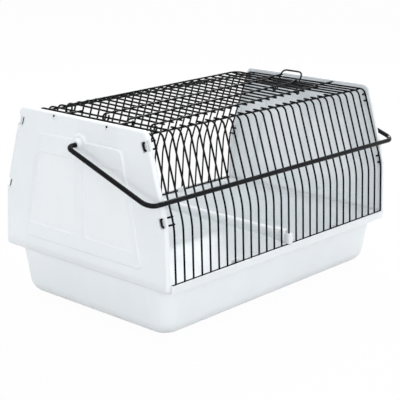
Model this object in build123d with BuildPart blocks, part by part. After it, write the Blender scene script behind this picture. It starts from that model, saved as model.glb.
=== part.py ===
"""Travel carrier for small birds: a moulded tub, two moulded ends and a wire cage with a roof door.

X runs along the carrier, Y from front to back and Z up. The origin is on the ground under the cage.
Sizes are in millimetres and angles in degrees. X is zero at the middle wire of the cage, and the tub
and the ends stand a little to its left.
"""

import os
from math import atan2, copysign, cos, degrees, radians, sin, sqrt, tan

from build123d import *

os.makedirs("parts", exist_ok=True)

# ---- clearances ----
seat_gap = 0.4          # between pieces that rest on or slide past each other
pin_gap = 0.06          # round a pin in its bore or eye
weld_bite = 0.3         # how far two welded wires sink into each other

# ---- grille wires ----
wire_dia = 2.0
wire_pitch = 12.7
pitch_count = 28        # spaces between the first upright wire and the last
left_hoop_count = 3     # wires that cross the roof to the left of the door
right_hoop_count = 5
knee_half_depth = 116.95
foot_flare = 2.9        # foot of a wire outside its knee
knee_height = 119.6
roof_half_depth = 88.7
roof_height = 204.3     # centre line of the wires that cross the roof
knee_bend_r = 70.0
shoulder_bend_r = 8.0
top_rail_inset = 9.2
stub_overhang = 3.0     # length of a cut wire past the top rail
rail_overhang = 1.5     # length of a top rail past the outermost upright wire

# ---- tub ----
shell_x = -2.3          # middle of the tub and the ends
ledge_height = 59.2     # the cage's bottom rails sit just above this ledge
lip_rise = 2.6          # rim of the lip above the ledge
skirt_height = 8.2      # whole height of the outer lip
lip_wall = 1.2
lip_corner_r = 2.0
ledge_wall = 1.6
tub_wall = 2.0
tub_inset = 6.45        # side of the tub inside the lip's outer face
tub_end_inset = 0.6
tub_corner_r = 31.0
tub_base_r = 17.3
tub_draft = 9.1
tongue_x = 85.0
tongue_width = 13.0
tongue_rise = 3.4       # top of a locating tongue above the rail
tongue_wall = 1.2
tongue_corner_r = 2.0

# ---- end panels ----
panel_wall = 2.0
panel_side_cover = 0.45     # side of a panel outside the wires' centre line
panel_shoulder_cover = 2.5
panel_top_cover = 5.0
panel_face_gap = 10.2   # outer face past the outermost wire's centre, as the mean of both ends
flange_width = 5.0
panel_foot_r = 3.5
panel_knee_r = 60.0
panel_top_r = 8.0
panel_edge_r = 2.4
centre_base_margin = 17.0
centre_top_margin = 22.3
centre_base_half = 88.0
centre_top_half = 60.0
centre_rise = 2.0
centre_draft = 35.0     # slope of its sides, from square
centre_corner_r = 6.0
centre_edge_r = 1.0
window_base_margin = 16.0
window_top_margin = 20.0
window_base_half = 79.5
window_top_half = 61.0
window_sink = 0.9
window_draft = 50.0
window_corner_r = 4.0
rib_half = 7.0
notch_length = 10.5
notch_depth = 6.2       # from the panel's side
notch_width = 2.9       # from the panel's face
notch_wall = 1.6
notch_rise = 5.2        # lower notch above the knee
notch_drop = 9.1        # upper notch below the roof wires
prong_y = 38.5
prong_hole_height = 4.6

# ---- clips: wire loops that hook into the panels' edge notches ----
clip_inset = 4.3
clip_root = 3.0
clip_bend_r = 1.6

# ---- roof door ----
door_pitch = 1.13       # the free end rests higher than the hinge
door_roll = 1.25        # the back rests higher than the front
door_bar_lift = 2.4     # door wires above the hinge line
door_front_y = -65.0
door_back_y = 58.0
door_bar_overhang = 2.4
door_end_margin = 3.2   # end wire past the last door wire
door_corner_r = 9.0
stiffener_mid_y = -15.0
stiffener_half_gap = 17.2
hump_run = 7.0          # length over which a stiffener climbs over the end wire
foot_reach = 3.6        # foot of a stiffener past the end wire
foot_bend_r = 2.2
hump_foot_r = 6.0
hump_top_r = 3.0
eye_bend_share = 0.97   # bend radius of an eye's corners as a share of the eye's radius
hinge_tip_share = 0.4   # height of a hinge eye's tip as a share of the eye's radius
latch_tip_share = 0.33
tip_bend_r = 1.3        # last bend of a latch eye

# ---- door latch ----
latch_drop = 4.3        # latch pivot below the roof wires
latch_run_rise = 0.2    # rise of a leg from its pin to the wire that it catches
latch_waist_rise = 0.3  # waist of a leg above the roof wires
latch_pin_overhang = 0.8
latch_half_width = 14.8
latch_lean = 33.0
latch_rise = 17.7       # top of the finger loop above the roof wires
latch_bend_r = 1.3
latch_waist_r = 2.0
latch_top_r = 6.0
latch_side_gap = 3.0    # waist of the latch before the wire that it catches

# ---- carrying bail ----
bail_dia = 5.0
bail_arm_gap = 30.0     # arm past the outermost upright wire
bail_pivot_drop = 26.3  # pivot below a panel's top
bail_rest_height = 143.2
bail_elbow_r = 8.0
bail_corner_r = 11.0
bail_pin_length = 6.5
boss_pad_r = 11.0       # round swelling of the raised centre that carries the boss
boss_rise = 6.0
boss_base_r = 8.0
boss_draft = 30.0
boss_edge_r = 1.2

# ---- perch ----
perch_dia = 11.5
perch_rise = 7.6        # middle of the perch above the foot of its caps
perch_travel = 30.0
cap_wall = 1.4
cap_width = 7.0
cap_height = 11.4
collar_length = 15.0
socket_depth = 13.0
cap_front_wall = 1.6
cap_edge_r = 0.8

# ---- places that follow from the sizes ----
wire_r = wire_dia / 2
weld_step = wire_dia - weld_bite
bar_x = [(i - pitch_count / 2) * wire_pitch for i in range(pitch_count + 1)]
left_hoop_x = bar_x[:left_hoop_count]
right_hoop_x = bar_x[-right_hoop_count:]
cut_bar_x = bar_x[left_hoop_count:-right_hoop_count]
end_bar_x = bar_x[-1]
foot_half_depth = knee_half_depth + foot_flare
top_rail_half_depth = roof_half_depth - top_rail_inset
rail_height = ledge_height + seat_gap + wire_r
foot_height = rail_height - wire_r
bottom_rail_y = foot_half_depth - weld_step
rim_height = ledge_height + lip_rise
skirt_base = rim_height - skirt_height
upper_lean = (knee_half_depth - roof_half_depth) / (roof_height - knee_height)
lower_lean = (foot_half_depth - knee_half_depth) / (knee_height - foot_height)
lean_angle = degrees(atan2(upper_lean, 1))
foot_angle = degrees(atan2(lower_lean, 1))

panel_base = skirt_base + seat_gap
panel_top = roof_height + panel_top_cover
panel_foot_half = foot_half_depth + panel_side_cover
panel_knee_half = knee_half_depth + panel_side_cover
panel_top_half = roof_half_depth + panel_shoulder_cover
centre_base = panel_base + centre_base_margin
centre_top = panel_top - centre_top_margin
window_base = centre_base + window_base_margin
window_top = centre_top - window_top_margin
bail_pivot_height = panel_top - bail_pivot_drop
notch_heights = (knee_height + notch_rise, roof_height - notch_drop)
clip_length = notch_length - wire_dia - 2 * seat_gap

# measured along X from the middle of the tub and the ends
panel_face_x = end_bar_x + panel_face_gap
panel_inner_x = panel_face_x - panel_wall
lip_end_length = panel_inner_x - seat_gap
lip_side_length = panel_face_x - flange_width - seat_gap
rail_reach = lip_side_length - lip_wall - seat_gap

lip_half_depth = foot_half_depth + wire_r + seat_gap + lip_wall
panel_rim_half = panel_foot_half - lower_lean * (rim_height - panel_base)
lip_end_half_depth = panel_rim_half - panel_wall - seat_gap
tub_half_depth = lip_half_depth - tub_inset
tub_half_length = lip_end_length - tub_end_inset


def grille_half(height):
    """Half depth of the upright wires' centre line at a height, with its bend at the knee."""
    tangent = knee_bend_r * tan(radians(lean_angle - foot_angle) / 2)
    bend_top = knee_height + tangent * cos(radians(lean_angle))
    if height > bend_top:
        return knee_half_depth - upper_lean * (height - knee_height)
    if height < knee_height - tangent * cos(radians(foot_angle)):
        return foot_half_depth - lower_lean * (height - foot_height)
    bend_top_y = knee_half_depth - upper_lean * (bend_top - knee_height)
    centre_y = bend_top_y - knee_bend_r * cos(radians(lean_angle))
    centre_z = bend_top - knee_bend_r * sin(radians(lean_angle))
    return centre_y + sqrt(knee_bend_r**2 - (height - centre_z) ** 2)


def sweep_wire(points, radii, diameter, mode=Mode.ADD):
    """Add a round wire with rounded bends to the part that is being built, or cut its room."""
    with BuildLine() as path:
        FilletPolyline(*points, radius=radii)
    route = path.wire()
    with BuildSketch(Plane(origin=route @ 0, z_dir=route % 0)) as section:
        Circle(diameter / 2)
    sweep(section.sketch, path=route, mode=mode)


def straight_wire(start, end, diameter):
    """Add a straight round wire to the part that is being built."""
    start, end = Vector(*start), Vector(*end)
    with BuildSketch(Plane(origin=start, z_dir=end - start)) as section:
        Circle(diameter / 2)
    extrude(section.sketch, amount=(end - start).length)


def upright_points(x, side):
    """Foot, knee and roof corner of an upright wire; side is -1 in front and 1 at the back."""
    return [
        (x, side * foot_half_depth, foot_height),
        (x, side * knee_half_depth, knee_height),
        (x, side * roof_half_depth, roof_height),
    ]


# ---- tub ----
def lip_outline(inset):
    """Outline of the rim, moved inwards all round; its corners make room for the panels' flanges."""
    with Locations((shell_x, 0)):
        for half_length, half_depth in (
            (lip_end_length, lip_end_half_depth),
            (lip_side_length, lip_half_depth),
        ):
            RectangleRounded(2 * (half_length - inset), 2 * (half_depth - inset), lip_corner_r - inset)


def tub_block(inset):
    """Tapered block with rounded corners and a rounded base, from the ledge down to the floor."""
    with BuildPart() as block:
        with BuildSketch(Plane.XY.offset(ledge_height)):
            with Locations((shell_x, 0)):
                RectangleRounded(
                    2 * (tub_half_length - inset), 2 * (tub_half_depth - inset), tub_corner_r - inset
                )
        extrude(amount=inset - ledge_height, taper=tub_draft)
        fillet(block.faces().sort_by(Axis.Z)[0].edges(), tub_base_r - inset)
    return block.part


with BuildPart() as tub:
    with BuildSketch(Plane.XY.offset(skirt_base)):
        lip_outline(0)
    extrude(amount=skirt_height)
    with BuildSketch(Plane.XY.offset(skirt_base)):
        lip_outline(lip_wall)
    extrude(amount=ledge_height - ledge_wall - skirt_base, mode=Mode.SUBTRACT)
    with BuildSketch(Plane.XY.offset(ledge_height)):
        lip_outline(lip_wall)
    extrude(amount=lip_rise, mode=Mode.SUBTRACT)
    add(tub_block(0))
    add(tub_block(tub_wall), mode=Mode.SUBTRACT)
tub.part.label = "tub"
export_step(tub.part, "parts/tub.step")

with BuildPart() as tub_tongues:
    tongue_y = bottom_rail_y - wire_r - seat_gap - tongue_wall / 2
    tongue_top = rail_height + wire_r + tongue_rise
    with BuildSketch(Plane.XY.offset(ledge_height)):
        with GridLocations(2 * tongue_x, 2 * tongue_y, 2, 2):
            Rectangle(tongue_width, tongue_wall)
    extrude(amount=tongue_top - ledge_height)
    fillet(tub_tongues.edges().filter_by(Axis.Y).group_by(Axis.Z)[-1], tongue_corner_r)
tub_tongues.part.label = "tub_tongues"
export_step(tub_tongues.part, "parts/tub_tongues.step")


# ---- end panels ----
left_face_x = shell_x - panel_face_x
right_face_x = shell_x + panel_face_x


def clip_route(face_x, height, side):
    """Wire loop from under the outermost hoop to a run in the notch of the panel at face_x."""
    end = copysign(1, face_x)
    hoop_x = end * end_bar_x
    run_x = face_x - end * (wire_r + seat_gap)
    edge_x = face_x - end * flange_width
    leg = [
        (hoop_x - end * clip_root, weld_step),
        (hoop_x, weld_step),
        (edge_x, clip_inset),
        (run_x, clip_inset),
    ]
    lean = radians(lean_angle)
    half_depth = grille_half(height)
    route = []
    for along, points in ((clip_length / 2, leg), (-clip_length / 2, reversed(leg))):
        for x, depth in points:
            y = half_depth - along * sin(lean) - depth * cos(lean)
            route.append((x, side * y, height + along * cos(lean) - depth * sin(lean)))
    return route


def panel_outline(inset):
    """Outline of a panel, moved inwards except at its open base; X is half depth, Y is height."""
    half_points = [
        (panel_foot_half - inset, panel_base),
        (panel_knee_half - inset, knee_height),
        (panel_top_half - inset, panel_top - inset),
    ]
    with BuildSketch() as outline:
        with BuildLine():
            Polyline(*half_points, *[(-y, z) for y, z in reversed(half_points)], close=True)
        make_face()
        fillet(outline.vertices().group_by(Axis.Y)[1], panel_knee_r)
        fillet(outline.vertices().group_by(Axis.Y)[-1], panel_top_r - inset)
        if inset == 0:
            fillet(outline.vertices().group_by(Axis.Y)[0], panel_foot_r)
    return outline.sketch


def raised_centre(inset):
    """Raised centre with the boss's pad, moved inwards all round; X is half depth, Y is height."""
    base_half, top_half = centre_base_half - inset, centre_top_half - inset
    base, top = centre_base + inset, centre_top - inset
    with BuildSketch() as outline:
        with BuildLine():
            Polyline((-base_half, base), (base_half, base), (top_half, top), (-top_half, top), close=True)
        make_face()
        fillet(outline.vertices(), centre_corner_r - inset)
        with Locations((0, bail_pivot_height)):
            Circle(boss_pad_r - inset)
    return outline.sketch


with BuildPart() as left_end_panel:
    with BuildSketch(Plane.YZ.offset(left_face_x)):
        add(panel_outline(0))
    extrude(amount=flange_width)
    fillet(left_end_panel.faces().sort_by(Axis.X)[0].edges(), panel_edge_r)
    with BuildSketch(Plane.YZ.offset(left_face_x)):
        add(raised_centre(0))
    extrude(amount=-centre_rise, taper=centre_draft)
    fillet(left_end_panel.faces().sort_by(Axis.X)[0].edges(), centre_edge_r)
    with BuildSketch(Plane.YZ.offset(left_face_x)):
        with Locations((0, bail_pivot_height)):
            Circle(boss_base_r)
    extrude(amount=-boss_rise, taper=boss_draft)
    fillet(left_end_panel.faces().sort_by(Axis.X)[0].edges(), boss_edge_r)

    # the hollow side, open at the base where the tub's lip stands
    with BuildSketch(Plane.YZ.offset(left_face_x + panel_wall)):
        add(panel_outline(panel_wall))
    extrude(amount=flange_width, mode=Mode.SUBTRACT)
    with BuildSketch(Plane.YZ.offset(left_face_x + panel_wall)):
        add(raised_centre(panel_wall))
        with Locations((0, bail_pivot_height)):
            Circle(boss_pad_r, mode=Mode.SUBTRACT)
    extrude(amount=-centre_rise, mode=Mode.SUBTRACT)

    # two sunk windows in the raised centre
    with BuildSketch(Plane.YZ.offset(left_face_x - centre_rise)) as windows:
        for side in (-1, 1):
            with BuildLine():
                Polyline(
                    (side * rib_half, window_base),
                    (side * window_base_half, window_base),
                    (side * window_top_half, window_top),
                    (side * rib_half, window_top),
                    close=True,
                )
            make_face()
        fillet(windows.vertices(), window_corner_r)
    extrude(amount=window_sink, taper=window_draft, mode=Mode.SUBTRACT)

    # bore for the bail's end
    with BuildSketch(Plane.YZ.offset(left_face_x - boss_rise)):
        with Locations((0, bail_pivot_height)):
            Circle(bail_dia / 2 + pin_gap)
    extrude(amount=bail_pin_length + seat_gap, mode=Mode.SUBTRACT)

    # notches in the edge for the clips, each with a wall behind it that the clip's ends pass
    for notch_height in notch_heights:
        for side in (-1, 1):
            side_y = side * (grille_half(notch_height) + panel_side_cover)
            with Locations(Location((left_face_x, side_y, notch_height), (side * lean_angle, 0, 0))):
                with Locations((flange_width / 2, -side * (panel_wall + notch_depth) / 2, 0)):
                    wall_depth = notch_depth - panel_wall + 2 * notch_wall
                    Box(flange_width, wall_depth, notch_length + 2 * notch_wall)
                Box(2 * notch_width, 2 * notch_depth, notch_length, mode=Mode.SUBTRACT)
            clip = clip_route(left_face_x, notch_height, side)
            sweep_wire(clip, clip_bend_r, wire_dia + 2 * seat_gap, Mode.SUBTRACT)

    # holes for the prongs
    with BuildSketch(Plane.YZ.offset(left_face_x)):
        hole_top = roof_height + weld_step + wire_r + seat_gap / 2
        with GridLocations(2 * prong_y, 0, 2, 1):
            with Locations((0, hole_top - prong_hole_height / 2)):
                Rectangle(wire_dia + 2 * seat_gap, prong_hole_height)
    extrude(amount=panel_wall, mode=Mode.SUBTRACT)
left_end_panel.part.label = "left_end_panel"
export_step(left_end_panel.part, "parts/left_end_panel.step")

with BuildPart() as right_end_panel:
    mirror(left_end_panel.part, about=Plane.YZ.offset(shell_x))
right_end_panel.part.label = "right_end_panel"
export_step(right_end_panel.part, "parts/right_end_panel.step")


# ---- upright wires and rails ----
upright_bends = [knee_bend_r, shoulder_bend_r]


def cut_bars(side):
    """The wires that stop just past the top rail, in front (-1) or at the back (1)."""
    with BuildPart() as bars:
        for x in cut_bar_x:
            stub_end = (x, side * (top_rail_half_depth - stub_overhang), roof_height)
            sweep_wire([*upright_points(x, side), stub_end], upright_bends, wire_dia)
    return bars.part


def hoops(places):
    """The wires that run from the front rail over the roof to the back rail."""
    with BuildPart() as wires:
        for x in places:
            route = [*upright_points(x, -1), *reversed(upright_points(x, 1))]
            sweep_wire(route, [*upright_bends, *reversed(upright_bends)], wire_dia)
    return wires.part


def rail(middle_x, reach, half_depth, height):
    """A long straight wire in front or at the back; half_depth carries the side in its sign."""
    with BuildPart() as wire:
        left_tip = (middle_x - reach, half_depth, height)
        straight_wire(left_tip, (middle_x + reach, half_depth, height), wire_dia)
    return wire.part


top_rail_reach = end_bar_x + rail_overhang


grille_pieces = {
    "front_bars": cut_bars(-1),
    "back_bars": cut_bars(1),
    "left_hoops": hoops(left_hoop_x),
    "right_hoops": hoops(right_hoop_x),
    "front_top_rail": rail(0, top_rail_reach, -top_rail_half_depth, roof_height - weld_step),
    "back_top_rail": rail(0, top_rail_reach, top_rail_half_depth, roof_height - weld_step),
    "front_bottom_rail": rail(shell_x, rail_reach, -bottom_rail_y, rail_height),
    "back_bottom_rail": rail(shell_x, rail_reach, bottom_rail_y, rail_height),
}
for name, piece in grille_pieces.items():
    piece.label = name
    export_step(piece, f"parts/{name}.step")


# ---- clips and prongs that hold the panels ----
def clips(face_x):
    """The wire loops that hook into one panel's notches."""
    with BuildPart() as loops:
        for notch_height in notch_heights:
            for side in (-1, 1):
                sweep_wire(clip_route(face_x, notch_height, side), clip_bend_r, wire_dia)
    return loops.part


def roof_prongs(face_x, root_x):
    """The two straight wires that stick through a panel's holes."""
    with BuildPart() as wires:
        for y in (-prong_y, prong_y):
            height = roof_height + weld_step
            straight_wire((face_x, y, height), (root_x, y, height), wire_dia)
    return wires.part


fixings = {
    "left_clips": clips(left_face_x),
    "right_clips": clips(right_face_x),
    "left_roof_prongs": roof_prongs(left_face_x, left_hoop_x[-1] + wire_r),
    "right_roof_prongs": roof_prongs(right_face_x, right_hoop_x[0] - wire_r),
}
for name, piece in fixings.items():
    piece.label = name
    export_step(piece, f"parts/{name}.step")

# ---- roof door ----
hinge_x = left_hoop_x[-1]
frame_lift = door_bar_lift + weld_step
door_end = cut_bar_x[-1] + door_end_margin - hinge_x


def door_point(x, y, z):
    """Point of the door, measured from the hinge line along, across and above the door."""
    rolled_y = y * cos(radians(door_roll)) - z * sin(radians(door_roll))
    rolled_z = y * sin(radians(door_roll)) + z * cos(radians(door_roll))
    along = x * cos(radians(door_pitch)) - rolled_z * sin(radians(door_pitch))
    above = x * sin(radians(door_pitch)) + rolled_z * cos(radians(door_pitch))
    return (hinge_x + along, rolled_y, roof_height + above)


def eye_corners(radius, tip_share):
    """Corners of a wire bent into an eye: in along the top, round the far side, up on the near side."""
    return [(-radius, radius), (-radius, -radius), (radius, -radius), (radius, tip_share * radius)]


def eye_radii(radius):
    """Bend radii for the three corners of an eye."""
    return [eye_bend_share * radius] * 3


def hinge_eye(y):
    """Points of a hinge eye, from the straight wire to the tip."""
    return [door_point(x, y, z) for x, z in eye_corners(frame_lift, hinge_tip_share)]


with BuildPart() as door_bars:
    for x in cut_bar_x:
        front = door_point(x - hinge_x, door_front_y - door_bar_overhang, door_bar_lift)
        back = door_point(x - hinge_x, door_back_y + door_bar_overhang, door_bar_lift)
        straight_wire(front, back, wire_dia)

with BuildPart() as door_frame:
    frame_route = [
        *reversed(hinge_eye(door_front_y)),
        door_point(door_end, door_front_y, frame_lift),
        door_point(door_end, door_back_y, frame_lift),
        *hinge_eye(door_back_y),
    ]
    frame_bends = [*eye_radii(frame_lift), door_corner_r, door_corner_r, *eye_radii(frame_lift)]
    sweep_wire(frame_route, frame_bends, wire_dia)

latch_eye_r = wire_dia + pin_gap
foot_x = door_point(door_end, stiffener_mid_y, frame_lift)[0] + foot_reach
latch_x = foot_x + latch_eye_r
latch_z = roof_height - latch_drop


def stiffener_route(y):
    """Long wire: hinge eye, straight run, climb over the end wire, foot and latch eye."""
    hump_lift = frame_lift + weld_step
    hump_top = door_point(door_end, y, hump_lift)
    foot_y = hump_top[1]
    eye = [
        (foot_x, foot_y, latch_z - latch_eye_r),
        (latch_x + latch_eye_r, foot_y, latch_z - latch_eye_r),
        (latch_x + latch_eye_r, foot_y, latch_z + latch_eye_r),
        (latch_x + latch_tip_share * latch_eye_r, foot_y, latch_z + latch_eye_r),
    ]
    return [
        *reversed(hinge_eye(y)),
        door_point(door_end - hump_run, y, frame_lift),
        door_point(door_end - wire_r, y, hump_lift),
        (foot_x, foot_y, hump_top[2]),
        *eye,
    ]


with BuildPart() as door_stiffeners:
    hump_bends = [hump_foot_r, hump_top_r, foot_bend_r]
    stiffener_bends = [*eye_radii(frame_lift), *hump_bends, *eye_radii(latch_eye_r)[:2], tip_bend_r]
    for side in (-1, 1):
        stiffener_y = stiffener_mid_y + side * stiffener_half_gap
        sweep_wire(stiffener_route(stiffener_y), stiffener_bends, wire_dia)

# ---- latch ----
waist_x = right_hoop_x[0] - latch_side_gap
waist_z = roof_height + latch_waist_rise
latch_top = roof_height + latch_rise
latch_top_x = waist_x + (latch_top - waist_z) * tan(radians(latch_lean))
pin_tip_y = stiffener_half_gap + wire_r + latch_pin_overhang


def latch_leg(side):
    """Points of one leg, from the tip of its pin to the top of the finger loop."""
    leg_y = stiffener_mid_y + side * latch_half_width
    return [
        (latch_x, stiffener_mid_y + side * pin_tip_y, latch_z),
        (latch_x, leg_y, latch_z),
        (right_hoop_x[0], leg_y, latch_z + latch_run_rise),
        (waist_x, leg_y, waist_z),
        (latch_top_x, leg_y, latch_top),
    ]


with BuildPart() as door_latch:
    leg_bends = [latch_bend_r, latch_bend_r, latch_waist_r]
    latch_bends = [*leg_bends, latch_top_r, latch_top_r, *reversed(leg_bends)]
    sweep_wire([*latch_leg(1), *reversed(latch_leg(-1))], latch_bends, wire_dia)

# ---- carrying bail ----
bail_reach = grille_half(bail_rest_height) + (wire_r + bail_dia / 2 + seat_gap) / cos(radians(lean_angle))
bail_arm_x = end_bar_x + bail_arm_gap
bail_tip = panel_face_x + boss_rise - bail_pin_length


def bail_half(tip_x, arm_x):
    """Points of one arm of the bail, from the tip of its pin to the corner at the handle."""
    return [
        (tip_x, 0, bail_pivot_height),
        (arm_x, 0, bail_pivot_height),
        (arm_x, -bail_reach, bail_rest_height),
    ]


with BuildPart() as carrying_bail:
    left_half = bail_half(shell_x - bail_tip, -bail_arm_x)
    bail_route = [*left_half, *reversed(bail_half(shell_x + bail_tip, bail_arm_x))]
    bail_bends = [bail_elbow_r, bail_corner_r, bail_corner_r, bail_elbow_r]
    sweep_wire(bail_route, bail_bends, bail_dia)

door_bars.part.label = "door_bars"
door_frame.part.label = "door_frame"
door_stiffeners.part.label = "door_stiffeners"
door_latch.part.label = "door_latch"
carrying_bail.part.label = "carrying_bail"
for moving in (door_bars, door_frame, door_stiffeners, door_latch, carrying_bail):
    export_step(moving.part, f"parts/{moving.part.label}.step")

# ---- perch ----
cap_base = rim_height + seat_gap
perch_height = cap_base + perch_rise
channel_inner = grille_half(cap_base + cap_height + perch_travel) - wire_r - seat_gap
channel_outer = grille_half(cap_base) + wire_r + seat_gap
cap_front = channel_outer + cap_front_wall
collar_inner = channel_inner - collar_length
rod_half_length = collar_inner + socket_depth

with BuildPart() as perch_rod:
    straight_wire((0, -rod_half_length, perch_height), (0, rod_half_length, perch_height), perch_dia)
perch_rod.part.label = "perch_rod"
export_step(perch_rod.part, "parts/perch_rod.step")

with BuildPart() as perch_back_cap:
    with BuildSketch(Plane.XZ.offset(-collar_inner)) as collar:
        with Locations((0, perch_height)):
            Circle(perch_dia / 2 + pin_gap + cap_wall)
    extrude(collar.sketch, amount=-collar_length)
    with BuildSketch(Plane.XY.offset(cap_base)) as hook:
        with BuildLine():
            Polyline(
                (-cap_width / 2, channel_inner - collar_length / 2),
                (cap_width / 2, channel_inner - collar_length / 2),
                (cap_width / 2, cap_front),
                (-cap_width / 2, cap_front),
                close=True,
            )
        make_face()
        fillet(hook.vertices().group_by(Axis.Y)[-1], cap_front_wall)
    extrude(hook.sketch, amount=cap_height)
    fillet(perch_back_cap.edges().filter_by(Plane.XY).group_by(Axis.Y)[-1], cap_edge_r)
    with BuildSketch(Plane.XY.offset(cap_base)) as channel:
        with BuildLine():
            Polyline(
                (-wire_r - seat_gap, channel_inner),
                (cap_width, channel_inner),
                (cap_width, channel_outer),
                (-wire_r - seat_gap, channel_outer),
                close=True,
            )
        make_face()
    extrude(channel.sketch, amount=cap_height, mode=Mode.SUBTRACT)
    with BuildSketch(Plane.XZ.offset(-collar_inner)) as socket:
        with Locations((0, perch_height)):
            Circle(perch_dia / 2 + pin_gap)
    extrude(socket.sketch, amount=-socket_depth, mode=Mode.SUBTRACT)
perch_back_cap.part.label = "perch_back_cap"
export_step(perch_back_cap.part, "parts/perch_back_cap.step")

with BuildPart() as perch_front_cap:
    mirror(perch_back_cap.part, about=Plane.XZ)
perch_front_cap.part.label = "perch_front_cap"
export_step(perch_front_cap.part, "parts/perch_front_cap.step")

print("latch hinge", round(latch_x, 3), round(latch_z, 3))
print("door hinge", round(hinge_x, 3), round(roof_height, 3))
print("bail swing", round(180 + 2 * degrees(atan2(bail_pivot_height - bail_rest_height, bail_reach)), 2))
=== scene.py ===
# %% [markdown]
# # A bird travel carrier, dressed in Blender
#
# The carrier is a white moulded tub, two white moulded ends and a cage of black coated wire.
# Its construction is already there as a CAD model, so Blender has one job: the looks.
# The CAD model comes in as a fixed frame. Nothing in it is moved or resized here. Plastic
# pieces keep their CAD shape and get a better surface. Wire pieces are grown again from their
# centre lines, because a wire drawn that way can have soft bends, dipped ends and weld beads.

# %% Load the frame
from math import atan2, cos, radians, sin, sqrt, tan

import bpy
from mathutils import Matrix, Vector


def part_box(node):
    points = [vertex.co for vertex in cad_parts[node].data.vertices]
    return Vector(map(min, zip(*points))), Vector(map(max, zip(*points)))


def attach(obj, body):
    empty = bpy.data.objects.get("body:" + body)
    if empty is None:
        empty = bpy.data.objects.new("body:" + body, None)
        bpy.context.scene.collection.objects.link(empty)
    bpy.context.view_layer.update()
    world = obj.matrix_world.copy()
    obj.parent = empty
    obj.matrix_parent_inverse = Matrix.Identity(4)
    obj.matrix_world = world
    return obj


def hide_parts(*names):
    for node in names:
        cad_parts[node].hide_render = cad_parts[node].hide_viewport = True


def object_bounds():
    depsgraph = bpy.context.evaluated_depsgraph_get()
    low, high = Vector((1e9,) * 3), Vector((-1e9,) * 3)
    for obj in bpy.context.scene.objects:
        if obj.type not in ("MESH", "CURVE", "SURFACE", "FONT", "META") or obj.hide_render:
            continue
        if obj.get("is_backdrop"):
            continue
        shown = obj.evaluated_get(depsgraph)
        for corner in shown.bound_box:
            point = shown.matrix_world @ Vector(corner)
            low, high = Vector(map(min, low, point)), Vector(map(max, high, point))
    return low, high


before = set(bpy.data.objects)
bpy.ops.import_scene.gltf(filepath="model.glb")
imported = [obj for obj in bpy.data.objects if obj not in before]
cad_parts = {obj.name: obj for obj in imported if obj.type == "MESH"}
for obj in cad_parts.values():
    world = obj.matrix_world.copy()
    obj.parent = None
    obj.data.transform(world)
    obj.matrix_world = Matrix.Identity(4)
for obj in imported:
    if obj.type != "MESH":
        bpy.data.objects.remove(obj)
cad_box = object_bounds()

print("nodes:", len(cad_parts), "box:", [round(v, 4) for corner in cad_box for v in corner])

# %% [markdown]
# ## Units
# Blender works in metres, while wire work is thought of in millimetres. One named factor keeps
# every size readable as the number that a maker would say.

# %% Units
mm = 0.001


def points_in_metres(points):
    """The same points, from millimetres to metres."""
    return [tuple(value * mm for value in point) for point in points]


print("one millimetre is", mm, "metres")

# %% [markdown]
# ## The camera
# The carrier is looked at from its front left corner, a little from above, through a long lens,
# as in a catalogue. A long lens keeps the edges nearly parallel. The camera could be placed by a
# constraint that tracks an empty, but three angles and a place are easier to read and to change.
# The Standard view shows a colour as it is written, which suits a plain product picture.

# %% Camera
bpy.context.scene.view_settings.view_transform = "Standard"
camera_place = (-926.5, -818.3, 432.3)
camera_heading = 49.06      # degrees from +Y towards +X
camera_dip = 14.98          # degrees below the horizon
camera_roll = 0.85
camera_lens = 101.53        # millimetres
camera_sensor = 36          # millimetres wide
camera_shift = (-0.04, -0.03)


def camera_matrix(place, heading, dip, roll):
    """A camera at a place, looking along a heading and downwards, rolled about its own axis."""
    y, p, r = radians(heading), radians(dip), radians(roll)
    forward = Vector((sin(y) * cos(p), cos(y) * cos(p), -sin(p)))
    level_right = Vector((cos(y), -sin(y), 0))
    level_up = level_right.cross(forward)
    right = level_right * cos(r) + level_up * sin(r)
    up = level_up * cos(r) - level_right * sin(r)
    turned = Matrix((right, up, -forward)).transposed().to_4x4()
    return Matrix.Translation(points_in_metres([place])[0]) @ turned


camera_data = bpy.data.cameras.new("camera")
camera_data.lens = camera_lens
camera_data.sensor_width = camera_sensor
camera_data.shift_x, camera_data.shift_y = camera_shift
camera = bpy.data.objects.new("camera", camera_data)
camera.matrix_world = camera_matrix(camera_place, camera_heading, camera_dip, camera_roll)
bpy.context.scene.collection.objects.link(camera)
bpy.context.scene.camera = camera
print("camera at", [round(v, 3) for v in camera.location])

# %% [markdown]
# ## Node nets as plain expressions
# Surfaces and repeated shapes are both described by nets of small nodes. Drawn by hand, the
# formula `1 - mask * 0.3` takes two Math nodes and three links. Here a small class wraps a socket
# and turns Python's operators into Math nodes, so that a formula can be read as a formula.
# A second class adds any other node: first its settings, then the values of its sockets.

# %% Node helpers
class Signal:
    """A value that changes from place to place. Each sum on it adds a Math node."""

    def __init__(self, net, socket):
        self.net = net
        self.socket = socket

    def maths(self, operation, *values):
        return self.net.node("ShaderNodeMath", {"operation": operation}, dict(enumerate(values)))

    def other(self, name):
        """Another output of the same node."""
        return Signal(self.net, self.socket.node.outputs[name])

    def __add__(self, value):
        return self.maths("ADD", self, value)

    def __rsub__(self, value):
        return self.maths("SUBTRACT", value, self)

    def __mul__(self, value):
        return self.maths("MULTIPLY", self, value)

    def __gt__(self, value):
        return self.maths("GREATER_THAN", self, value)

    __radd__ = __add__


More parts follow.
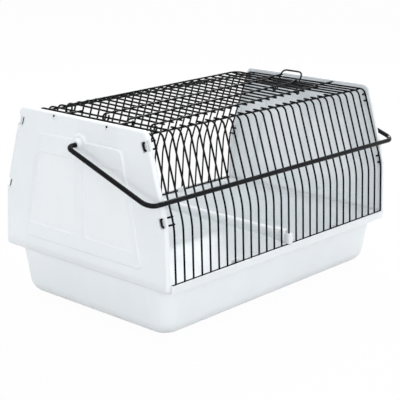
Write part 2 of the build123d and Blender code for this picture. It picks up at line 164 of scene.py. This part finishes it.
class Net:
    """A node tree and the one way in which a node is added to it."""

    def __init__(self, tree):
        self.tree = tree
        self.tree.nodes.clear()

    def node(self, kind, settings=None, inputs=None, output=0):
        """Add a node and give back one of its outputs. A list feeds one socket several times."""
        made = self.tree.nodes.new(kind)
        for key, value in (settings or {}).items():
            setattr(made, key, value)
        for key, value in (inputs or {}).items():
            for one in value if isinstance(value, list) else [value]:
                if isinstance(one, Signal):
                    self.tree.links.new(one.socket, made.inputs[key])
                else:
                    made.inputs[key].default_value = one
        return Signal(self, made.outputs[output]) if made.outputs else made


print("node helpers are ready")

# %% [markdown]
# ## What every surface here needs
# A surface is described in the piece's own coordinates, so that it stays put when the piece
# swings or slides. Colours must not pass through a Math node, because it turns them grey, so they
# are mixed by a node of their own.

# %% Surface helpers
class Surface(Net):
    """A material, written as a net that ends in a Principled surface."""

    def __init__(self, name):
        self.material = bpy.data.materials.new(name)
        self.material.use_nodes = True
        super().__init__(self.material.node_tree)

    def place(self, stretch=(1, 1, 1)):
        """Place on the object in its own coordinates, scaled along each axis."""
        raw = self.node("ShaderNodeTexCoord", output="Object")
        return self.node("ShaderNodeMapping", inputs={"Vector": raw, "Scale": stretch})

    def noise(self, waves, detail=2.0, stretch=(1, 1, 1)):
        """Soft noise between 0 and 1, with so many waves in a metre."""
        sockets = {"Vector": self.place(stretch), "Scale": waves, "Detail": detail}
        return self.node("ShaderNodeTexNoise", inputs=sockets)

    def ramp(self, signal, low, high):
        """0 below low, 1 above high, and a smooth change between."""
        sockets = {"Value": signal, "From Min": low, "From Max": high}
        return self.node("ShaderNodeMapRange", {"interpolation_type": "SMOOTHSTEP"}, sockets)

    def blend(self, share, first, second):
        """First colour where share is 0, second where it is 1."""
        return self.node("ShaderNodeMix", {"data_type": "RGBA"}, {0: share, 6: first, 7: second}, 2)

    def relief(self, height, depth):
        """Normal of a relief whose height signal is worth depth metres."""
        return self.node("ShaderNodeBump", inputs={"Height": height, "Distance": depth})

    def finish(self, **sockets):
        """End the net. An underscore in a socket's name stands for a space."""
        named = {key.replace("_", " "): value for key, value in sockets.items()}
        shade = self.node("ShaderNodeBsdfPrincipled", inputs=named)
        self.node("ShaderNodeOutputMaterial", inputs={"Surface": shade})
        return self.material


print("surface helpers are ready")

# %% [markdown]
# ## Moulded plastic
# The tub and the ends are injection moulded in a cool off-white styrene with a satin skin. Seen
# close, such a skin has a very fine grain from the mould, faint flow clouds and a few dark specks
# of burnt plastic. A flat colour would look like a toy model, so all three are in the net:
# the clouds turn the colour a little, the grain is relief and the specks come from scattered
# cells of which only a few are chosen.

# %% Moulded plastic
cloud_waves, flow_waves, grain_waves = 11, 38, 1300   # in a metre
speck_cells = 30            # in a metre
speck_chance = 0.82         # a cell holds a speck only where its number is above this
speck_edge = (0.010, 0.022)     # full and gone, as a share of a cell
speck_strength = 0.55
burnt = (0.16, 0.15, 0.13, 1)
plastic_light = (0.80, 0.83, 0.85, 1)
plastic_shade = (0.77, 0.80, 0.82, 1)


def moulded_plastic(name, light, shade, rough):
    """Satin moulded plastic between two near colours."""
    surface = Surface(name)
    clouds = surface.noise(cloud_waves, detail=3)
    flow = surface.noise(flow_waves, stretch=(1, 1, 0.25))
    grain = surface.noise(grain_waves)
    spots = {"Vector": surface.place(), "Scale": speck_cells}
    cells = surface.node("ShaderNodeTexVoronoi", inputs=spots, output="Distance")
    number = surface.node("ShaderNodeSeparateColor", inputs={"Color": cells.other("Color")})
    speck = (1 - surface.ramp(cells, *speck_edge)) * (number > speck_chance)
    clean = surface.blend(surface.ramp(clouds * 0.6 + flow * 0.4, 0.3, 0.7), light, shade)
    return surface.finish(
        Base_Color=surface.blend(speck * speck_strength, clean, burnt),
        Roughness=rough + clouds * 0.07 + grain * 0.05,
        Specular_IOR_Level=0.4,
        Subsurface_Weight=0.4,
        Subsurface_Radius=(1, 1, 1),
        Subsurface_Scale=5 * mm,
        Normal=surface.relief(grain + flow * 0.6, 0.03 * mm),
    )


white_plastic = moulded_plastic("white_plastic", plastic_light, plastic_shade, rough=0.30)
print("made", white_plastic.name)

# %% [markdown]
# ## Coated wire
# The cage wire is steel with a baked black coating. The coating is satin, a little uneven like
# the skin of an orange, thinner and greyer in patches, and a lamp draws only a faint streak on
# it. The bail wears a glossier coat. One function makes both.

# %% Coated wire
def coated_steel(name, deep, thin, rough, shine, peel):
    """Black coating on steel, with peel as the depth of its unevenness."""
    surface = Surface(name)
    patches = surface.noise(55, detail=3)
    skin = surface.noise(620, detail=1)
    return surface.finish(
        Base_Color=surface.blend(surface.ramp(patches, 0.45, 0.75), deep, thin),
        Roughness=rough + patches * 0.12,
        Specular_IOR_Level=shine,
        Normal=surface.relief(skin, peel),
    )


coating_deep = (0.003, 0.0035, 0.0045, 1)
coating_thin = (0.007, 0.008, 0.010, 1)
coating = (coating_deep, coating_thin)
wire_coating = coated_steel("coated_wire", *coating, rough=0.28, shine=0.08, peel=0.05 * mm)
bail_coating = coated_steel("coated_bail", *coating, rough=0.14, shine=0.10, peel=0.06 * mm)
print("made", wire_coating.name, "and", bail_coating.name)

# %% [markdown]
# ## Perch plastic
# A perch must not be slippery, so it is matt, with fine drawn lines along its length. The same
# noise as above does it, pressed flat along the rod.

# %% Perch plastic
perch_light = (0.76, 0.785, 0.80, 1)
perch_shade = (0.69, 0.72, 0.74, 1)


def drawn_plastic(name, light, shade):
    """Matt plastic with fine lines along Y."""
    surface = Surface(name)
    lines = surface.noise(420, stretch=(1, 0.02, 1))
    clouds = surface.noise(18)
    tint = surface.ramp(lines * 0.5 + clouds * 0.5, 0.3, 0.7)
    return surface.finish(
        Base_Color=surface.blend(tint, light, shade),
        Roughness=0.46 + lines * 0.12,
        Normal=surface.relief(lines, 0.08 * mm),
    )


perch_plastic = drawn_plastic("perch_plastic", perch_light, perch_shade)
print("made", perch_plastic.name)

# %% [markdown]
# ## Growing a wire from its centre line
# Every wire here is the same thing: a centre line with corners, a bend radius at each corner and
# a round section. A cylinder for each straight run would leave gaps at the bends, and a bevelled
# curve can't have a different radius at each corner. Geometry Nodes can do all of it in one tree:
# turn edges into a curve, round each corner by the radius stored there, sweep a circle, dip the
# ends in coating and copy the result along a line. Its sizes are named inputs, so the same
# tree serves the thin grille wires and the thick bail.

# %% The tree that grows wires
sides_round = 14            # faces round a wire
bend_steps = 8              # points in a rounded corner


class Growth(Net):
    """A Geometry Nodes tree with named inputs."""

    def __init__(self, name, kinds):
        super().__init__(bpy.data.node_groups.new(name, "GeometryNodeTree"))
        sockets = self.tree.interface
        sockets.new_socket("Geometry", in_out="OUTPUT", socket_type="NodeSocketGeometry")
        for label, kind in {"Geometry": "Geometry", **kinds}.items():
            sockets.new_socket(label, in_out="INPUT", socket_type="NodeSocket" + kind)
        self.inputs = self.node("NodeGroupInput")

    def given(self, label):
        """One of the tree's own inputs."""
        return self.inputs.other(label)

    def finish(self, geometry):
        """Smooth shading, real copies, one material."""
        smooth = self.node("GeometryNodeSetShadeSmooth", inputs={"Geometry": geometry})
        real = self.node("GeometryNodeRealizeInstances", inputs={"Geometry": smooth})
        sockets = {"Geometry": real, "Material": self.given("Material")}
        painted = self.node("GeometryNodeSetMaterial", inputs=sockets)
        self.node("NodeGroupOutput", inputs={"Geometry": painted})
        return self.tree


def wire_growth():
    """Tree: corner points with bend radii in, round wires with dipped ends out."""
    kinds = {"Radius": "Float", "Copies": "Int", "Step": "Vector", "Dip": "Vector"}
    net = Growth("wire_growth", {**kinds, "Material": "Material"})
    line = net.node("GeometryNodeMeshToCurve", inputs={"Mesh": net.given("Geometry")})
    bend = net.node("GeometryNodeInputNamedAttribute", {"data_type": "FLOAT"}, {"Name": "bend"})
    corners = {"Curve": line, "Radius": bend, "Count": bend_steps}
    route = net.node("GeometryNodeFilletCurve", {"mode": "POLY"}, corners)
    circle = {"Resolution": sides_round, "Radius": net.given("Radius")}
    section = net.node("GeometryNodeCurvePrimitiveCircle", inputs=circle)
    swept = {"Curve": route, "Profile Curve": section, "Fill Caps": True}
    wire = net.node("GeometryNodeCurveToMesh", inputs=swept)
    ball = {"Segments": sides_round, "Rings": 6, "Radius": net.given("Radius")}
    drop = net.node("GeometryNodeMeshUVSphere", inputs=ball)
    along = {"Vector": net.node("GeometryNodeInputTangent")}
    ends = {
        "Points": route,
        "Selection": net.node("GeometryNodeCurveEndpointSelection"),
        "Instance": drop,
        "Rotation": net.node("FunctionNodeAlignRotationToVector", {"axis": "Z"}, along),
        "Scale": net.given("Dip"),
    }
    drops = net.node("GeometryNodeInstanceOnPoints", inputs=ends)
    one = net.node("GeometryNodeJoinGeometry", inputs={"Geometry": [wire, drops]})
    places = {"Count": net.given("Copies"), "Offset": net.given("Step")}
    copies = {"Points": net.node("GeometryNodeMeshLine", inputs=places), "Instance": one}
    return net.finish(net.node("GeometryNodeInstanceOnPoints", inputs=copies))


wire_tree = wire_growth()
print("wire tree has", len(wire_tree.nodes), "nodes")

# %% [markdown]
# ## From a tree to a piece
# A modifier would keep the shape live, but a finished piece is a plain mesh: it can be exported,
# measured and made to ride on a body. So the tree is applied through the evaluated object, and
# the helper object with the corner points is thrown away.

# %% Applying a tree
def grow(tree, name, points, edges, bends, **values):
    """Run a tree over corner points and give back a plain mesh object."""
    seed = bpy.data.meshes.new(name + "_points")
    seed.from_pydata(points_in_metres(points), edges, [])
    if bends:
        stored = seed.attributes.new("bend", "FLOAT", "POINT")
        stored.data.foreach_set("value", [radius * mm for radius in bends])
    helper = bpy.data.objects.new(name + "_seed", seed)
    bpy.context.scene.collection.objects.link(helper)
    modifier = helper.modifiers.new("growth", "NODES")
    modifier.node_group = tree
    for item in tree.interface.items_tree:
        if item.in_out == "INPUT" and item.name in values:
            modifier[item.identifier] = values[item.name]
    grown = helper.evaluated_get(bpy.context.evaluated_depsgraph_get())
    mesh = bpy.data.meshes.new_from_object(grown)
    mesh.name = name
    bpy.data.objects.remove(helper)
    piece = bpy.data.objects.new(name, mesh)
    bpy.context.scene.collection.objects.link(piece)
    return piece


dip = (1, 1, 0.3)           # shape of the drop of coating on a wire's end


def grow_wires(name, routes, diameter, material, copies=1, step=0.0):
    """Wires along routes of (corner points, bend radii), copied along X by a step."""
    points, bends, edges = [], [], []
    for corners, radii in routes:
        first = len(points)
        points += corners
        bends += [0, *radii, 0]
        edges += [(i, i + 1) for i in range(first, len(points) - 1)]
    return grow(
        wire_tree, name, points, edges, bends, Radius=diameter / 2 * mm, Dip=dip,
        Copies=copies, Step=(step * mm, 0, 0), Material=material,
    )


def stand_for(piece, node, body):
    """The piece replaces a CAD node. Prints how far their boxes differ, in millimetres."""
    low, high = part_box(node)
    corners = [Vector(c) for c in piece.bound_box]
    gaps = [abs(min(c[i] for c in corners) - low[i]) for i in range(3)]
    gaps += [abs(max(c[i] for c in corners) - high[i]) for i in range(3)]
    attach(piece, body)
    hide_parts(node)
    faces = len(piece.data.polygons)
    print(piece.name, "faces", faces, "box differs by", round(max(gaps) / mm, 2), "mm")


print("trees can be applied")

# %% [markdown]
# ## The rule of the grille
# Upright wires stand at one even pitch. Three at one end and five at the other run on over the
# roof as hoops; the ones between stop just past the top rail and leave the roof open for
# the door. Each upright leans in a little from its foot to its knee and more above it. These few
# sizes rule the whole cage, and the same numbers rule its CAD model. All of the cage's wire is
# alike, so one short function grows it and lets it take the place of a CAD node.

# %% Grille sizes
wire = 2.0
pitch = 12.7
pitch_count = 28
left_hoop_count = 3
right_hoop_count = 5
weld_step = 1.7             # centre to centre of two welded wires
foot = (119.85, 59.6)       # half depth and height
knee = (116.95, 119.6)
roof = (88.7, 204.3)
knee_bend = 70.0
shoulder_bend = 8.0
top_rail_half_depth = 79.5
stub = 3.0                  # length of a cut wire past the top rail
end_x = pitch_count / 2 * pitch
bar_x = [i * pitch - end_x for i in range(pitch_count + 1)]
cut_x = bar_x[left_hoop_count:-right_hoop_count]
upper_lean = (knee[0] - roof[0]) / (roof[1] - knee[1])
lower_lean = (foot[0] - knee[0]) / (knee[1] - foot[1])


def cage_wire(name, node, body, routes, **copies):
    """Thin coated wire along routes, in place of a CAD node."""
    stand_for(grow_wires(name, routes, wire, wire_coating, **copies), node, body)


print("the cage is", round(2 * end_x, 1), "mm long, with", len(cut_x), "cut wires a side")

# %% [markdown]
# ## Upright wires and hoops
# One centre line is written for each kind of wire and the tree copies it along X. Drawing all
# twenty-one by hand, or joining duplicates, would give the same mesh but hide the rule.

# %% Upright wires and hoops
def upright(side):
    """Foot, knee and roof corner in front (-1) or at the back (1)."""
    return [(0, side * depth, height) for depth, height in (foot, knee, roof)]


for side, node in ((-1, "front_bars"), (1, "back_bars")):
    stub_end = (0, side * (top_rail_half_depth - stub), roof[1])
    corners = [(cut_x[0], y, z) for _, y, z in [*upright(side), stub_end]]
    routes = [(corners, [knee_bend, shoulder_bend])]
    cage_wire(node + "_wires", node, "cage", routes, copies=len(cut_x), step=pitch)

for first_x, count, node in (
    (bar_x[0], left_hoop_count, "left_hoops"),
    (bar_x[-right_hoop_count], right_hoop_count, "right_hoops"),
):
    corners = [(first_x, y, z) for _, y, z in [*upright(-1), *reversed(upright(1))]]
    routes = [(corners, [knee_bend, shoulder_bend, shoulder_bend, knee_bend])]
    cage_wire(node + "_wires", node, "cage", routes, copies=count, step=pitch)

# %% [markdown]
# ## Rails
# Four long straight wires tie the uprights together. Their places are read from the CAD
# nodes' boxes, since a straight wire is fully described by its box.

# %% Rails
def straight_from_box(node):
    """End points of a straight wire along X, from its CAD node's box, in millimetres."""
    low, high = (corner / mm for corner in map(Vector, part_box(node)))
    middle = (low + high) / 2
    return [(low.x, middle.y, middle.z), (high.x, middle.y, middle.z)]


for node in ("front_top_rail", "back_top_rail", "front_bottom_rail", "back_bottom_rail"):
    cage_wire(node + "_wire", node, "cage", [(straight_from_box(node), [])])

# %% [markdown]
# ## Clips and prongs
# The moulded ends hang on the cage by small wire loops behind their edge notches and by short
# prongs through their top holes. A loop has six soft bends, so it is grown like the rest. The
# tub and the ends stand a little to the left of the cage's middle wire.

# %% Clips and prongs
shell_x = -2.3              # middle of the tub and the ends
face_x = end_x + 10.2       # outer face of an end, from that middle
flange = 5.0
notch_heights = (knee[1] + 5.2, roof[1] - 9.1)
clip_half = 3.85
clip_inset = 4.3
clip_root = 3.0
clip_reach = 1.4            # middle of a loop's far side, in from the outer face
clip_bend = 1.6
prong_y = 38.5
lean = atan2(upper_lean, 1)
foot_lean = atan2(lower_lean, 1)


def half_depth(height):
    """Half depth of an upright's centre line above the knee, where it may still bend."""
    bend_top = knee[1] + knee_bend * tan((lean - foot_lean) / 2) * cos(lean)
    straight = knee[0] - upper_lean * (max(height, bend_top) - knee[1])
    if height > bend_top:
        return straight
    rise = height - bend_top + knee_bend * sin(lean)
    return straight - knee_bend * cos(lean) + sqrt(knee_bend**2 - rise**2)


def clip_route(end, height, side):
    """Corners of a clip at the left (-1) or right (1) end, square to the leaning edge."""
    face = shell_x + end * face_x
    root, hoop = end * (end_x - clip_root), end * end_x
    edge, run = face - end * flange, face - end * clip_reach
    leg = [(root, weld_step), (hoop, weld_step), (edge, clip_inset), (run, clip_inset)]
    route = []
    for way in (1, -1):
        for x, depth in leg[::way]:
            y = half_depth(height) - way * clip_half * sin(lean) - depth * cos(lean)
            route.append((x, side * y, height + way * clip_half * cos(lean) - depth * sin(lean)))
    return route


roof_end_x = (bar_x[left_hoop_count - 1], bar_x[-right_hoop_count])
for end, name, last_hoop_x in zip((-1, 1), ("left", "right"), roof_end_x):
    loops = [
        (clip_route(end, height, side), [clip_bend] * 6)
        for height in notch_heights for side in (-1, 1)
    ]
    cage_wire(name + "_clip_wires", name + "_clips", "cage", loops)
    prong_z = roof[1] + weld_step
    tip_x, root_x = shell_x + end * face_x, last_hoop_x - end * wire / 2
    prongs = [([(tip_x, y, prong_z), (root_x, y, prong_z)], []) for y in (-prong_y, prong_y)]
    cage_wire(name + "_prong_wires", name + "_roof_prongs", "cage", prongs)

# %% [markdown]
# ## The roof door
# The door is a mat of short cross wires between a bent frame and two long stiffeners. It hangs
# on the last left hoop by four open eyes that are wider than the hoop, so the closed door rests a
# degree out of level. Every point of it is written from the hinge line and turned
# by those two small angles, so the whole door tilts as one.

# %% Door sizes
hinge_x, catch_x = roof_end_x
door_pitch = radians(1.13)
door_roll = radians(1.25)
bar_lift = 2.4
frame_lift = bar_lift + weld_step
door_front_y = -65.0
door_back_y = 58.0
bar_overhang = 2.4
end_margin = 3.2            # end wire past the last cross wire
frame_corner = 9.0
door_length = cut_x[-1] + end_margin - hinge_x
stiffener_y = (-32.2, 2.2)
latch_mid_y = sum(stiffener_y) / 2


def on_door(x, y, z):
    """Place of a point of the door, given along, across and above it from the hinge line."""
    rolled = (y * cos(door_roll) - z * sin(door_roll), y * sin(door_roll) + z * cos(door_roll))
    along = x * cos(door_pitch) - rolled[1] * sin(door_pitch)
    return (hinge_x + along, rolled[0], roof[1] + x * sin(door_pitch) + rolled[1] * cos(door_pitch))


print("the door is", round(door_length, 1), "by", door_back_y - door_front_y, "mm")

# %% [markdown]
# ## Door wires
# The cross wires lie a little out of square with X because the door is tilted, so each is its own
# short route and the tree's copying isn't used. The eyes are three quarter turns, each with a
# radius just under the eye's own.

# %% Door wires
eye_bend = 0.97             # bend radius of an eye, as a share of its half width
hinge_tip = 0.4             # height of its tip, as a share of the same
eye_bends = [eye_bend * frame_lift] * 3


def eye(radius, tip):
    """Corners of a wire bent into an eye, from the straight wire round to the tip."""
    return [(-radius, radius), (-radius, -radius), (radius, -radius), (radius, tip * radius)]


def hinge_eye(y):
    """The eye round the last left hoop, at a place across the door."""
    return [on_door(x, y, z) for x, z in eye(frame_lift, hinge_tip)]


bar_ends = (door_front_y - bar_overhang, door_back_y + bar_overhang)
cross_wires = [([on_door(x - hinge_x, y, bar_lift) for y in bar_ends], []) for x in cut_x]
cage_wire("door_bar_wires", "door_bars", "door", cross_wires)

frame_corners = [
    *reversed(hinge_eye(door_front_y)),
    on_door(door_length, door_front_y, frame_lift),
    on_door(door_length, door_back_y, frame_lift),
    *hinge_eye(door_back_y),
]
frame_route = (frame_corners, [*eye_bends, frame_corner, frame_corner, *eye_bends])
cage_wire("door_frame_wire", "door_frame", "door", [frame_route])

# %% [markdown]
# ## Stiffeners
# Each stiffener climbs over the end wire of the door, drops to a foot and ends in a small eye, in
# which a pin of the latch turns.

# %% Stiffeners
pin_gap = 0.06
foot_reach = 3.6            # foot of a stiffener past the end wire
hump_run = 7                # length of the climb over the end wire
hump_bends = (6, 3, 2.2)
tip_bend = 1.3
latch_tip = 0.33            # tip of a latch eye, as a share of its half width
latch_eye = wire + pin_gap
latch_drop = 4.3            # middle of the eye below the roof wires
foot_x = on_door(door_length, latch_mid_y, frame_lift)[0] + foot_reach
latch_x = foot_x + latch_eye
latch_z = roof[1] - latch_drop


def stiffener_route(y):
    """Hinge eye, straight run, climb over the end wire, foot and latch eye."""
    _, hump_y, hump_z = on_door(door_length, y, frame_lift + weld_step)
    corners = [
        *reversed(hinge_eye(y)),
        on_door(door_length - hump_run, y, frame_lift),
        on_door(door_length - wire / 2, y, frame_lift + weld_step),
        (foot_x, hump_y, hump_z),
        (foot_x, hump_y, latch_z - latch_eye),
        (latch_x + latch_eye, hump_y, latch_z - latch_eye),
        (latch_x + latch_eye, hump_y, latch_z + latch_eye),
        (latch_x + latch_tip * latch_eye, hump_y, latch_z + latch_eye),
    ]
    latch_eye_bends = [eye_bend * latch_eye] * 2
    return corners, [*eye_bends, *hump_bends, *latch_eye_bends, tip_bend]


stiffener_routes = [stiffener_route(y) for y in stiffener_y]
cage_wire("door_stiffener_wires", "door_stiffeners", "door", stiffener_routes)

# %% [markdown]
# ## Latch
# The latch is one wire loop that turns in both eyes. Its two legs have bent-out pins, pass under
# the roof wire that holds the door shut, lean back and meet in the finger loop. One leg is
# written and the other is its mirror image.

# %% Latch
leg_half_gap = 14.8
pin_half_length = 17.2 + wire / 2 + 0.8     # to the stiffener's far face and a little past it
run_rise = 0.2              # rise of a leg from its pin to the wire that it catches
waist_side = 3              # waist of the latch before that wire
waist_rise = 0.3
latch_top = 222.0
latch_lean = radians(33)
pin_bend, waist_bend, loop_bend = 1.3, 2, 6


def latch_leg(side):
    """One leg of the latch, from the tip of its pin to the top of the finger loop."""
    leg_y = latch_mid_y + side * leg_half_gap
    waist_x, waist_z = catch_x - waist_side, roof[1] + waist_rise
    top_x = waist_x + (latch_top - waist_z) * tan(latch_lean)
    return [
        (latch_x, latch_mid_y + side * pin_half_length, latch_z),
        (latch_x, leg_y, latch_z),
        (catch_x, leg_y, latch_z + run_rise),
        (waist_x, leg_y, waist_z),
        (top_x, leg_y, latch_top),
    ]


leg_bends = [pin_bend, pin_bend, waist_bend, loop_bend]
latch_corners = [*latch_leg(1), *reversed(latch_leg(-1))]
cage_wire("door_latch_wire", "door_latch", "latch", [(latch_corners, leg_bends + leg_bends[::-1])])

# %% [markdown]
# ## The carrying bail
# One thick rod, bent four times, with its ends in the bosses of the panels. It is the same
# kind of wire, only thicker, so the same tree grows it with another radius and coating.

# %% Carrying bail
bail = 5.0
bail_arm_x = end_x + 30.0   # arm past the last upright wire
bail_pivot_z = 183.0
bail_rest_z = 143.2
bail_depth = -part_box("carrying_bail")[0][1] / mm - bail / 2
bail_tip = face_x - 0.5     # pin's end, just inside the outer face
elbow_bend, corner_bend = 8, 11


def bail_half(end):
    """Corners of one half of the bail, from the tip of its pin to the handle."""
    arm_x = end * bail_arm_x
    tip = (shell_x + end * bail_tip, 0, bail_pivot_z)
    return [tip, (arm_x, 0, bail_pivot_z), (arm_x, -bail_depth, bail_rest_z)]


bail_corners = [*bail_half(-1), *reversed(bail_half(1))]
bail_route = (bail_corners, [elbow_bend, corner_bend, corner_bend, elbow_bend])
bail_rod = grow_wires("bail_rod", [bail_route], bail, bail_coating)
stand_for(bail_rod, "carrying_bail", "bail")

# %% [markdown]
# ## Weld beads
# Where two coated wires cross they are spot welded before they are dipped, so the coating fills
# the corner between them and leaves a small bead. More than two hundred beads would be tedious to
# place by hand. A second tree puts one on every point that it is given, and loops give the points
# from the same rule that placed the wires.

# %% The tree that grows beads
def bead_growth():
    """Tree: points in, a flattened bead of coating on each of them out."""
    net = Growth("bead_growth", {"Radius": "Float", "Stretch": "Vector", "Material": "Material"})
    ball = {"Radius": net.given("Radius"), "Subdivisions": 2}
    drop = net.node("GeometryNodeMeshIcoSphere", inputs=ball)
    spots = {"Points": net.given("Geometry"), "Instance": drop, "Scale": net.given("Stretch")}
    return net.finish(net.node("GeometryNodeInstanceOnPoints", inputs=spots))


bead_tree = bead_growth()
print("bead tree has", len(bead_tree.nodes), "nodes")

# %% [markdown]
# ## Where the beads sit
# A bead lies halfway between the two centre lines of a weld. The cage and the door move apart,
# so each gets a piece of its own.

# %% Weld beads
bead = 1.15
bead_stretch = (1.05, 1.05, 1.0)
half_step = weld_step / 2


def grow_beads(name, points, body):
    """A bead of coating on each point, riding on a body."""
    beads = grow(
        bead_tree, name, points, [], [],
        Radius=bead * mm, Stretch=bead_stretch, Material=wire_coating,
    )
    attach(beads, body)
    print(name, "beads", len(points), "faces", len(beads.data.polygons))


cage_welds = []
rail_z = foot[1] + wire / 2
roof_wires = bar_x[:left_hoop_count] + bar_x[-right_hoop_count:]
for side in (-1, 1):
    cage_welds += [(x, side * (foot[0] - half_step), rail_z) for x in bar_x]
    cage_welds += [(x, side * top_rail_half_depth, roof[1] - half_step) for x in bar_x]
    cage_welds += [(x, side * prong_y, roof[1] + half_step) for x in roof_wires]
door_welds = [
    on_door(x - hinge_x, y, bar_lift + half_step)
    for x in cut_x for y in (door_front_y, *stiffener_y, door_back_y)
]
door_welds += [on_door(door_length, y, frame_lift + half_step) for y in stiffener_y]
grow_beads("cage_weld_beads", cage_welds, "cage")
grow_beads("door_weld_beads", door_welds, "door")

# %% [markdown]
# ## Plastic pieces keep their CAD shape
# The tub, its tongues, the two ends and the perch are already right as solids, with their walls,
# fillets and recesses, so they only change their material. A CAD node's mesh is left alone.

# %% Plastic pieces
plastic_nodes = {
    "tub": white_plastic, "tub_tongues": white_plastic,
    "left_end_panel": white_plastic, "right_end_panel": white_plastic,
    "perch_rod": perch_plastic, "perch_front_cap": white_plastic, "perch_back_cap": white_plastic,
}
for name, material in plastic_nodes.items():
    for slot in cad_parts[name].material_slots:
        slot.material = material
print("dressed", ", ".join(plastic_nodes))

# %% [markdown]
# ## Floor
# The carrier stands on a plain white floor that runs out of sight. Seen straight from the
# camera the floor glows by itself, so that it blends with the white background. A small share of
# plain diffuse grey under that keeps the carrier's shadow and throws less light back up.

# %% Floor
floor_half = 4.0
floor_glow = 0.97
floor_grey = (0.60, 0.60, 0.60, 1)
white = (1, 1, 1, 1)


def floor_surface():
    """Diffuse grey that is nearly plain white to the camera and to reflections."""
    net = Surface("floor_white")
    rays = net.node("ShaderNodeLightPath", output="Is Camera Ray")
    seen = rays.maths("MAXIMUM", rays, rays.other("Is Glossy Ray"))
    paper = net.node("ShaderNodeBsdfDiffuse", inputs={"Color": floor_grey})
    glow = net.node("ShaderNodeEmission", inputs={"Color": white, "Strength": 1.0})
    mixed = net.node("ShaderNodeMixShader", inputs={0: seen * floor_glow, 1: paper, 2: glow})
    net.node("ShaderNodeOutputMaterial", inputs={"Surface": mixed})
    return net.material


floor_mesh = bpy.data.meshes.new("floor")
floor_signs = ((-1, -1), (1, -1), (1, 1), (-1, 1))
floor_corners = [(x * floor_half, y * floor_half, 0) for x, y in floor_signs]
floor_mesh.from_pydata(floor_corners, [], [(0, 1, 2, 3)])
floor_mesh.materials.append(floor_surface())
floor = bpy.data.objects.new("floor", floor_mesh)
bpy.context.scene.collection.objects.link(floor)
floor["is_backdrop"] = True
print("floor is", 2 * floor_half, "metres square")

# %% [markdown]
# ## Light
# A product studio for white goods: most of the light comes from the whole white room, so that
# the hollow parts stay bright, and five weak lamps give it a direction. To the camera and in
# reflections the world is plain white; as light it is weaker.

# %% World
ambient = 0.77
cool_white = (0.96, 0.98, 1, 1)

world = bpy.data.worlds.new("studio")
world.use_nodes = True
bpy.context.scene.world = world
sky = Net(world.node_tree)
rays = sky.node("ShaderNodeLightPath", output="Is Camera Ray")
seen = rays
for kind in ("Is Glossy Ray", "Is Transmission Ray"):
    seen = rays.maths("MAXIMUM", seen, rays.other(kind))
fill = sky.node("ShaderNodeBackground", inputs={"Color": cool_white, "Strength": ambient})
backdrop = sky.node("ShaderNodeBackground", inputs={"Color": white, "Strength": 1.0})
both = sky.node("ShaderNodeMixShader", inputs={0: seen, 1: fill, 2: backdrop})
sky.node("ShaderNodeOutputWorld", inputs={"Surface": both})
print("ambient light is", ambient)

# %% [markdown]
# ## Soft boxes
# A bare world light would flatten everything. Five square lamps give the edges a bright and a
# dim side. A square lamp is softer the larger it is for its distance. The key lamp stands near
# the camera, where its own shadows hide behind the parts. The one at the left is smaller, since
# it draws the bail's shadow on the end panel. The one behind puts thin bright lines on the
# wires, and the other two lift the front of the tub and the edges that face up.

# %% Soft boxes
middle = (0, 0, 0.1)        # of the carrier, in metres
lamps = {                   # place in metres, side of the square in metres, watts
    "key_box": ((-1.3, -1.7, 0.75), 1.0, 5.5),
    "left_box": ((-1.9, -0.15, 0.36), 0.55, 5),
    "front_box": ((0.5, -1.9, 0.6), 0.8, 8),
    "top_box": ((-0.1, -0.1, 1.8), 0.8, 9),
    "back_box": ((1.2, 0.75, 1.35), 0.35, 22),
}


def soft_box(name, place, aim, size, power):
    """A square area lamp that faces a point."""
    data = bpy.data.lights.new(name, "AREA")
    data.size = size
    data.energy = power
    lamp = bpy.data.objects.new(name, data)
    lamp.location = place
    lamp.rotation_mode = "QUATERNION"
    lamp.rotation_quaternion = (Vector(aim) - Vector(place)).to_track_quat("-Z", "Y")
    bpy.context.scene.collection.objects.link(lamp)
    print(name, power, "watts")


for name, (place, size, power) in lamps.items():
    soft_box(name, place, middle, size, power)

# %% [markdown]
# ## Sizes
# The dressed carrier's box is measured against its CAD model's box.

# %% Sizes and finish
dressed_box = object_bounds()
gaps = [abs(a - b) / mm for one, two in zip(cad_box, dressed_box) for a, b in zip(one, two)]
print("the boxes differ by at most", round(max(gaps), 2), "mm")
